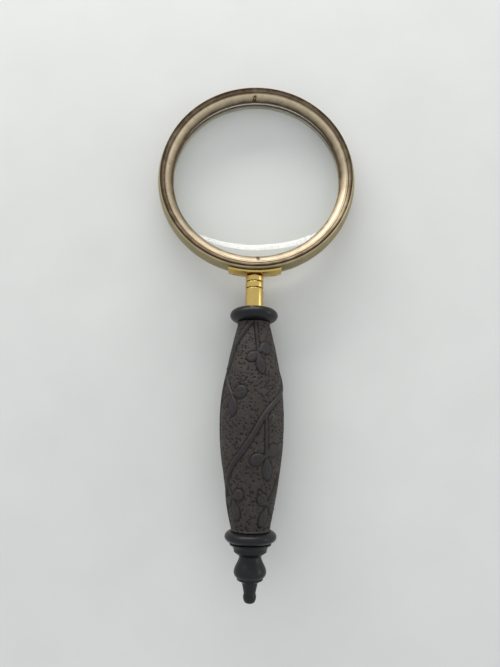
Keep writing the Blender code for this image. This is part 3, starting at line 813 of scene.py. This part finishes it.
def wall_radius(height):
    """Outer radius of the rim's milled band, which is rounded like a barrel."""
    return RIM_RADIUS - RIM_CURVE + math.sqrt(RIM_CURVE**2 - (height - RIM_WIDEST) ** 2)


def wall_points(start, end, steps, outwards=0.0):
    """(radius, height) points of the milled band between two heights, or of a face outside it."""
    return [(wall_radius(height) + outwards, height) for _, height in spread((0, start), (0, end), steps)]


class GLASS_OT_rim(bpy.types.Operator):
    """Turned brass rim with a slanted milled band, and a plain bore in its mouth"""

    bl_idname = "glass.rim"
    bl_label = "Milled rim"

    def execute(self, context):
        sizes = context.scene.glass_brass
        bore = THREAD_RADIUS + GAP
        edge = RIM_RADIUS - RIM_BULGE - RIM_CHAMFER
        profile = [(bore, RIM_FRONT), (edge, RIM_FRONT)]
        profile += wall_points(RIM_FRONT - RIM_CHAMFER, RIM_BACK + RIM_CHAMFER, 22)
        seat = LENS_EDGE_BACK - 1.1 * MM
        pocket = LENS_RADIUS + GAP
        profile += softened([
            (edge, RIM_BACK, 0),
            (SEAT_OPENING, RIM_BACK, 0.2 * MM),
            (SEAT_OPENING, seat, 0.1 * MM),
            (pocket, seat, 0),
            (pocket, LENS_EDGE_FRONT, 0),
            (bore, LENS_EDGE_FRONT, 0),
        ])
        profile += spread((bore, LENS_EDGE_FRONT + 0.3 * MM), (bore, RIM_FRONT - 0.3 * MM), 12)

        def banded(radius, height):
            """Full on the band, fading out at its edges."""
            if radius < bore + 0.5 * MM:
                return 0.0
            low = min(max((height - RIM_BACK - 0.5 * MM) / (0.5 * MM), 0), 1)
            high = min(max((RIM_FRONT - 0.2 * MM - height) / (0.4 * MM), 0), 1)
            return min(low, high)

        mesh = lathe("rim", profile, sizes.rib_count * 6, [("worked", banded)])
        mesh = worked(mesh, groove_tree(), {
            "Grooves round": float(sizes.rib_count), "Grooves per metre": 0.0,
            "Groove depth": sizes.rib_depth, "Crest": 0.55,
            "Twist per metre": math.tan(sizes.rib_slant) / RIM_RADIUS,
            "Finish": finish("milled_brass"),
        })
        place("rim_milled", mesh, GLASS, ["rim"], 50)
        return {"FINISHED"}


class GLASS_OT_retaining_ring(bpy.types.Operator):
    """Retaining ring: two slopes down to the lens, two spanner holes and a screwed spigot"""

    bl_idname = "glass.retaining_ring"
    bl_label = "Retaining ring"

    def execute(self, context):
        sizes = context.scene.glass_brass
        thread, bottom = THREAD_RADIUS, BEZEL_BOTTOM
        steep, steep_drop, lip_thickness = 2.3 * MM, 1.3 * MM, 0.6 * MM
        bend = (BEZEL_RADIUS - steep, BEZEL_FRONT - steep_drop)
        lip = (BEZEL_OPENING, SPIGOT_BOTTOM + lip_thickness)
        profile = softened([
            (*lip, 0.12 * MM),
            (*bend, 0.25 * MM),
            (BEZEL_RADIUS - 0.62 * MM, BEZEL_FRONT, 0.1 * MM),
            (BEZEL_RADIUS, BEZEL_FRONT, 0.28 * MM),
            (BEZEL_RADIUS, bottom, 0.1 * MM),
            (thread, bottom, 0),
        ])
        profile += spread((thread, bottom - 0.1 * MM), (thread, SPIGOT_BOTTOM + 0.05 * MM), 24)
        profile += [(thread - 0.2 * MM, SPIGOT_BOTTOM), (BEZEL_OPENING, SPIGOT_BOTTOM)]

        def screwed(radius, height):
            inside = bottom - 0.3 * MM > height > SPIGOT_BOTTOM + 0.1 * MM
            return float(inside and radius > thread - 0.1 * MM)

        def rubbed(radius, height):
            """Painted reflection: light-coloured on the flatter inner slope and at the inner edge, where
            the bright ceiling is mirrored; the steep outer slope keeps its dark patina.
            """
            share = (bend[0] + 0.15 * MM - radius) / (0.3 * MM)
            return min(max(share, 0.0), 1.0) if height > SPIGOT_BOTTOM + 0.3 * MM else 0.0

        mesh = lathe("ring", profile, 288, [("worked", screwed), ("rubbed", rubbed)])
        mesh = worked(mesh, groove_tree(), {
            "Grooves round": 1.0, "Grooves per metre": -1 / sizes.ring_pitch,
            "Groove depth": sizes.thread_depth, "Crest": 1.0, "Twist per metre": 0.0,
            "Finish": finish("aged_brass"),
        })
        reach = (BEZEL_OPENING + bend[0]) / 2
        face = (lip[1] + bend[1]) / 2
        drills = []
        hole_radius, hole_depth = 0.55 * MM, 1.0 * MM
        for angle in (92, 272):
            turn = Matrix.Rotation(math.radians(angle), 4, "Z") @ Matrix.Translation((reach, 0, 0))
            drills.append((turn, hole_radius, face - hole_depth, BEZEL_FRONT))
        place("retaining_ring_turned", bored(mesh, drills), GLASS, ["retaining_ring"], 30)
        return {"FINISHED"}


class GLASS_OT_lens(bpy.types.Operator):
    """Biconvex lens: two spherical faces and a ground edge"""

    bl_idname = "glass.lens"
    bl_label = "Lens"

    def execute(self, context):
        low, high = LENS_EDGE_BACK, LENS_EDGE_FRONT
        crown = LENS_FRONT - high
        sphere = (LENS_RADIUS**2 + crown**2) / (2 * crown)
        front = []
        for step in range(29):
            radius = LENS_RADIUS * step / 28
            front.append((radius, high + math.sqrt(sphere**2 - radius**2) - (sphere - crown)))
        back = [(radius, low + high - height) for radius, height in reversed(front)]
        mesh = lathe("lens", front + back, 192)
        place("lens_polished", mesh, GLASS, ["lens"], 40)
        return {"FINISHED"}


class GLASS_OT_saddle(bpy.types.Operator):
    """Curved brass saddle on the rim, and the two rivets filed flush with it"""

    bl_idname = "glass.saddle"
    bl_label = "Saddle and rivets"

    def execute(self, context):
        sizes = context.scene.glass_brass
        lowest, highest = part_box("saddle")
        half_width = (highest.x - lowest.x) / 2
        rear, front = measured("saddle", GLASS)[2:]
        inner, outer, edge = GAP, GAP + 1.0 * MM, sizes.edge_round
        loop = softened([
            (wall_radius(front) + inner, front, edge),
            (wall_radius(front) + outer, front, edge),
            *[(*point, 0) for point in wall_points(front, rear, 10, outer)[1:-1]],
            (wall_radius(rear) + outer, rear, edge),
            (wall_radius(rear) + inner, rear, edge),
            *[(*point, 0) for point in wall_points(rear, front, 10, inner)[1:-1]],
        ])
        steps, points, faces = 40, [], []
        for step in range(steps + 1):
            for radius, height in loop:
                angle = math.asin(half_width / radius) * (2 * step / steps - 1)
                points.append((radius * math.sin(angle), -radius * math.cos(angle), height))
        count = len(loop)
        for step in range(steps):
            for i in range(count):
                j = (i + 1) % count
                a, b = step * count, (step + 1) * count
                faces.append((a + i, a + j, b + j, b + i))
        faces += [tuple(range(count))[::-1], tuple(range(steps * count, (steps + 1) * count))]
        mesh = bpy.data.meshes.new("saddle")
        mesh.from_pydata(points, [], faces)
        tidy = bmesh.new()
        tidy.from_mesh(mesh)
        bmesh.ops.recalc_face_normals(tidy, faces=tidy.faces)
        tidy.to_mesh(mesh)
        tidy.free()
        drills = []
        for side in ("left", "right"):
            node = "saddle_rivet_" + side
            low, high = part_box(node)
            middle = GLASS.inverted() @ ((low + high) / 2)
            turn = math.atan2(middle.x, -middle.y)
            own = Matrix.Translation((0, 0, middle.z)) @ Matrix.Rotation(turn, 4, "Z")
            own = own @ Matrix.Rotation(math.pi / 2, 4, "X")
            radius, _, root, end = measured(node, GLASS @ own)
            drills.append((own, radius + 0.06 * MM, root, end + 2 * MM))
            profile = [(0, end + 0.02 * MM)] + softened([
                (0, end, 0), (radius, end, 0.3 * MM), (radius, root, 0.1 * MM), (0, root, 0),
            ])[1:]
            place(node + "_filed", lathe(node, profile, 48), GLASS @ own, [node])
        place("saddle_filed", bored(mesh, drills), GLASS, ["saddle"], 30)
        return {"FINISHED"}


class GLASS_OT_neck(bpy.types.Operator):
    """Brass neck: screwed stud, boss, spacer and the ferrule that the wood is fixed to"""

    bl_idname = "glass.neck"
    bl_label = "Neck"

    def execute(self, context):
        sizes = context.scene.glass_brass
        for node, round_off in (("neck_boss", 0.3), ("neck_spacer", 0.3)):
            outer, bore, start, end = measured(node, HANDLE)
            profile = softened([
                (bore, end, 0), (outer, end, round_off * MM),
                (outer, start, round_off * MM), (bore, start, 0),
            ])
            place(node + "_turned", lathe(node, profile, 96), HANDLE, [node])

        outer, bore, start, end = measured("neck_stud", HANDLE)
        first = measured("neck_boss", HANDLE)[2]
        profile = [(0, end), (outer - 0.35 * MM, end)]
        profile += spread((outer, end - 0.35 * MM), (outer, first), 170)
        profile += [(outer, start + 0.2 * MM), (outer - 0.2 * MM, start), (0, start)]
        threaded = ("worked", lambda radius, height: float(radius > outer - 0.01 * MM and height > first))
        mesh = worked(lathe("stud", profile, 48, [threaded]), groove_tree(), {
            "Grooves round": 1.0, "Grooves per metre": -1 / sizes.stud_pitch,
            "Groove depth": sizes.thread_depth, "Crest": 1.0, "Twist per metre": 0.0,
            "Finish": finish("polished_brass"),
        })
        place("neck_stud_threaded", mesh, HANDLE, ["neck_stud"], 60)

        outer, _, start, end = measured("ferrule", HANDLE)
        tail, stud_bore, rod_bore = 2.8 * MM, 2.2 * MM, 1.9 * MM
        shoulder, web_start, web_end = start + 8.6 * MM, start + 7.6 * MM, start + 10.2 * MM
        profile = softened([
            (0, web_end, 0), (rod_bore, web_end, 0), (rod_bore, end, 0), (tail, end, 0.15 * MM),
            (tail, shoulder, 0), (outer, shoulder, 0.12 * MM), (outer, start, 0.3 * MM),
            (stud_bore, start, 0.1 * MM), (stud_bore, web_start, 0), (0, web_start, 0),
        ])
        place("ferrule_turned", lathe("ferrule", profile, 96), HANDLE, ["ferrule"])
        return {"FINISHED"}


class GLASS_OT_discs(bpy.types.Operator):
    """Collar disc above the grip and its twin below it, turned with rounded sides"""

    bl_idname = "glass.discs"
    bl_label = "Wooden discs"

    def execute(self, context):
        for node, round_in in (("collar_disc", 4.1), ("lower_disc", 2.9)):
            outer, bore, start, end = measured(node, HANDLE)
            centre = (outer - round_in * MM, (start + end) / 2)
            side = curved(centre, (round_in * MM, (end - start) / 2), 90, -90, 28)
            profile = [(bore, end)] + side + [(bore, start)]
            place(node + "_turned", lathe(node, profile, 128), HANDLE, [node], 60)
        return {"FINISHED"}


class GLASS_OT_grip(bpy.types.Operator):
    """Turned grip, carved with winding vines and three-leaved sprigs on a punched ground"""

    bl_idname = "glass.grip"
    bl_label = "Carved grip"

    def execute(self, context):
        sizes = context.scene.glass_carving
        total = GRIP_END - GRIP_START
        rows = 286
        depths = [total * i / rows for i in range(rows, -1, -1)]
        outer = [(grip_radius(depth), GRIP_START + depth) for depth in depths]
        tail, tail_bore = measured("ferrule", HANDLE)[3] + GAP, 3.1 * MM
        washer, rod, room, _ = measured("tang_washer", HANDLE)
        profile = [(washer + GAP, GRIP_END)] + outer + [
            (tail_bore, GRIP_START), (tail_bore, tail), (rod, tail), (rod, room - GAP),
            (washer + GAP, room - GAP),
        ]

        def carved(radius, height):
            if radius < grip_radius(height - GRIP_START) - 0.01 * MM:
                return 0.0
            return min((height - GRIP_START) / (0.5 * MM), (GRIP_END - height) / (0.5 * MM), 1.0)

        repeats = sizes.repeats
        leaves = [leaflet(joint, *leaf) for joint, leaflets in SPRIGS for leaf in leaflets]
        edges = [
            [*grid[0], *[row[-1] for row in grid], *grid[-1][::-1], *[row[0] for row in grid[::-1]]]
            for grid in leaves
        ]
        veins = [[row[len(row) // 2] for row in grid[1:-2]] for grid in leaves]
        parts = {
            "Vines": ornament("vines", [flowing(vine) for vine in VINES], 1),
            "Stalks": ornament("stalks", [flowing(stalk) for stalk in STALKS], repeats),
            "Leaves": ornament("leaves", (), repeats, leaves),
            "Leaf edges": ornament("leaf_edges", edges, repeats),
            "Leaf veins": ornament("leaf_veins", veins, repeats),
        }
        mesh = lathe("grip", profile, 324, [("worked", carved)])
        mesh = worked(mesh, carving_tree(), {
            **parts,
            "Vine width": sizes.vine_width, "Stalk width": sizes.stalk_width,
            "Ground depth": sizes.ground_depth, "Pit spacing": sizes.pit_spacing,
            "Pit depth": sizes.pit_depth, "Finish": finish("carved_wood"),
        })
        for helper in parts.values():
            bpy.data.objects.remove(helper)
        place("grip_carved", mesh, HANDLE, ["grip"], 180)
        return {"FINISHED"}


class GLASS_OT_finial(bpy.types.Operator):
    """Turned finial: flange, cove and bead, a waist that swells into a bulb, step, stem and tip"""

    bl_idname = "glass.finial"
    bl_label = "Finial"

    def execute(self, context):
        heights = (0, 0.6, 1.4, 1.2, 1.6, 5.9, 2.1, 0.7, 1.0, 3.9, 3.6)
        levels = [FINIAL_START + sum(heights[: i + 1]) * MM for i in range(len(heights))]
        flange, cove, bead, splay, waist, bulb, step, step_splay, stem, tip, end = levels
        turned_wood = math.cos(math.pi / 32)
        flange_r, bead_r, waist_r, bulb_r = (r * MM * turned_wood for r in (8.35, 6.6, 4.4, 6.45))
        step_r, stem_r, stem_end_r, tip_r = (r * MM * turned_wood for r in (5.2, 3.2, 2.35, 2.6))
        tip_size = (tip_r * 0.5, (end - tip) * 2 / 3)
        profile = [(0, end)] + curved((tip_r * 0.5, end - tip_size[1]), tip_size, 88, 0, 12)
        profile += softened([
            (tip_r, end - tip_size[1], 0),
            (stem_end_r, tip, 0.5 * MM),
            (stem_r, stem, 0.3 * MM),
            (step_r, step_splay, 0.12 * MM),
            (step_r, step, 0.05 * MM),
            (step_r - 0.1 * MM, step, 0),
        ])[1:-1]
        profile += curved((0, bulb), (bulb_r, (step - bulb) / math.sin(math.radians(35))), 34.5, 0, 14)
        for share in np.linspace(0.04, 0.96, 24):
            swell = (1 + math.cos(math.pi * share)) / 2
            profile.append((waist_r + (bulb_r - waist_r) * swell, bulb + (waist - bulb) * float(share)))
        profile += softened([
            (waist_r, bulb, 0),
            (waist_r, waist, 0),
            (bead_r, splay, 0.1 * MM),
            (bead_r, bead, 0),
        ])[1:]
        profile += curved((flange_r, bead), (flange_r - bead_r - 0.3 * MM, bead - cove), 180, 262, 12)
        profile += softened([
            (flange_r - 0.1 * MM, cove, 0),
            (flange_r, cove, 0.1 * MM),
            (flange_r, flange, 0.1 * MM),
            (1.9 * MM, flange, 0),
        ])[1:]
        room = measured("tang_rod", HANDLE)[3] + GAP
        profile += [(1.9 * MM, room), (0, room)]
        place("finial_turned", lathe("finial", profile, 128), HANDLE, ["finial"], 32)
        return {"FINISHED"}


class GLASS_OT_hidden(bpy.types.Operator):
    """Finish of the pieces that keep their CAD shape: packing rings, rod, washer and nut"""

    bl_idname = "glass.hidden"
    bl_label = "Packing, rod, washer and nut"

    def execute(self, context):
        for node in ("front_packing", "rear_packing", "tang_rod", "tang_washer", "tang_nut"):
            piece = frame["nodes"][node]
            piece.data.materials.clear()
            piece.data.materials.append(finish(SLOTS[node]))
        return {"FINISHED"}


class GLASS_OT_stage(bpy.types.Operator):
    """Pale table, soft light and the camera above it"""

    bl_idname = "glass.stage"
    bl_label = "Stage"

    def execute(self, context):
        scene = context.scene
        sizes = scene.glass_stage
        scene.view_settings.view_transform = "Standard"

        # Painted board: matt and pale, with a very faint mottle.
        table, tree, place_of = new_finish("painted board")
        mottle = add(tree, NOISE, {"Vector": place_of, "Scale": 1 / (30 * MM), "Detail": 3.0})
        share = add(tree, RANGE, (mottle, 0.3, 0.7))
        inputs = {0: share, 6: tuple(sizes.floor), 7: linear("#e0e0dd")}
        tint = add(tree, MIX, inputs, data_type="RGBA").outputs[2]
        shader = add(tree, PRINCIPLED, {"Base Color": tint, "Roughness": 0.75})
        add(tree, OUTPUT, {"Surface": shader})
        mesh = bpy.data.meshes.new("table")
        side = 1.5
        corners = [(-side, -side, 0), (side, -side, 0), (side, side, 0), (-side, side, 0)]
        mesh.from_pydata(corners, [], [(0, 1, 2, 3)])
        mesh.materials.append(table)
        floor = bpy.data.objects.new("table", mesh)
        scene.collection.objects.link(floor)

        world = bpy.data.worlds.new("room")
        scene.world = world
        world.use_nodes = True
        background = world.node_tree.nodes["Background"]
        background.inputs["Color"].default_value = linear("#eef1f3")
        background.inputs["Strength"].default_value = 0.84

        for name, spot, aim, size, power in (
            ("window", (-0.15, 0.75, 0.24), (0, 0.05, 0), (0.9, 0.12), 5.0),
            ("fill", (0.9, 0.1, 0.25), (0, 0, 0), (0.5, 0.12), 1.0),
        ):
            light = bpy.data.lights.new(name, "AREA")
            light.shape = "RECTANGLE"
            light.size, light.size_y = size
            light.energy = power
            lamp = bpy.data.objects.new(name, light)
            lamp.location = spot
            lamp.rotation_euler = (Vector(aim) - Vector(spot)).to_track_quat("-Z", "Y").to_euler()
            scene.collection.objects.link(lamp)

        lens = bpy.data.cameras.new("camera")
        lens.lens = sizes.focal
        lens.sensor_width = lens.sensor_height = 36.0
        lens.sensor_fit = "VERTICAL"
        camera = bpy.data.objects.new("camera", lens)
        face = GLASS @ Vector((0, 0, BEZEL_FRONT))
        ahead = Vector((0, math.sin(sizes.pitch), -math.cos(sizes.pitch)))
        up = Vector((0, math.cos(sizes.pitch), math.sin(sizes.pitch)))
        back, below, aside = 222.4 * MM, 71.25 * MM, 1.6 * MM
        place_of = face - back * ahead - below * up - Vector((aside, 0, 0))
        axes = Matrix((Vector((1, 0, 0)), up, -ahead)).transposed().to_4x4()
        camera.matrix_world = Matrix.Translation(place_of) @ axes @ Matrix.Rotation(sizes.roll, 4, "Z")
        scene.collection.objects.link(camera)
        scene.camera = camera
        return {"FINISHED"}


# ------------------------------------------------------------------ panel and registration

OPERATORS = (
    GLASS_OT_rim,
    GLASS_OT_retaining_ring,
    GLASS_OT_lens,
    GLASS_OT_saddle,
    GLASS_OT_neck,
    GLASS_OT_discs,
    GLASS_OT_grip,
    GLASS_OT_finial,
    GLASS_OT_hidden,
    GLASS_OT_stage,
)


class GLASS_PT_panel(bpy.types.Panel):
    """Lists the pieces and their sizes"""

    bl_label = "Reading glass"
    bl_idname = "GLASS_PT_panel"
    bl_space_type = "VIEW_3D"
    bl_region_type = "UI"
    bl_category = "Reading glass"

    def draw(self, context):
        for operator in OPERATORS:
            self.layout.operator(operator.bl_idname)
        for group in (context.scene.glass_brass, context.scene.glass_carving, context.scene.glass_stage):
            for name in group.bl_rna.properties.keys():
                if name not in ("rna_type", "name"):
                    self.layout.prop(group, name)


GROUPS = {"glass_brass": BrassSizes, "glass_carving": CarvingSizes, "glass_stage": StageSettings}


def register():
    for group in (*GROUPS.values(), *OPERATORS, GLASS_PT_panel):
        bpy.utils.register_class(group)
    for name, group in GROUPS.items():
        setattr(bpy.types.Scene, name, PointerProperty(type=group))


def unregister():
    for name in GROUPS:
        delattr(bpy.types.Scene, name)
    for group in (GLASS_PT_panel, *reversed(OPERATORS), *GROUPS.values()):
        bpy.utils.unregister_class(group)


def main():
    register()
    for operator in OPERATORS:
        group, name = operator.bl_idname.split(".")
        getattr(getattr(bpy.ops, group), name)()


if __name__ == "__main__":
    main()
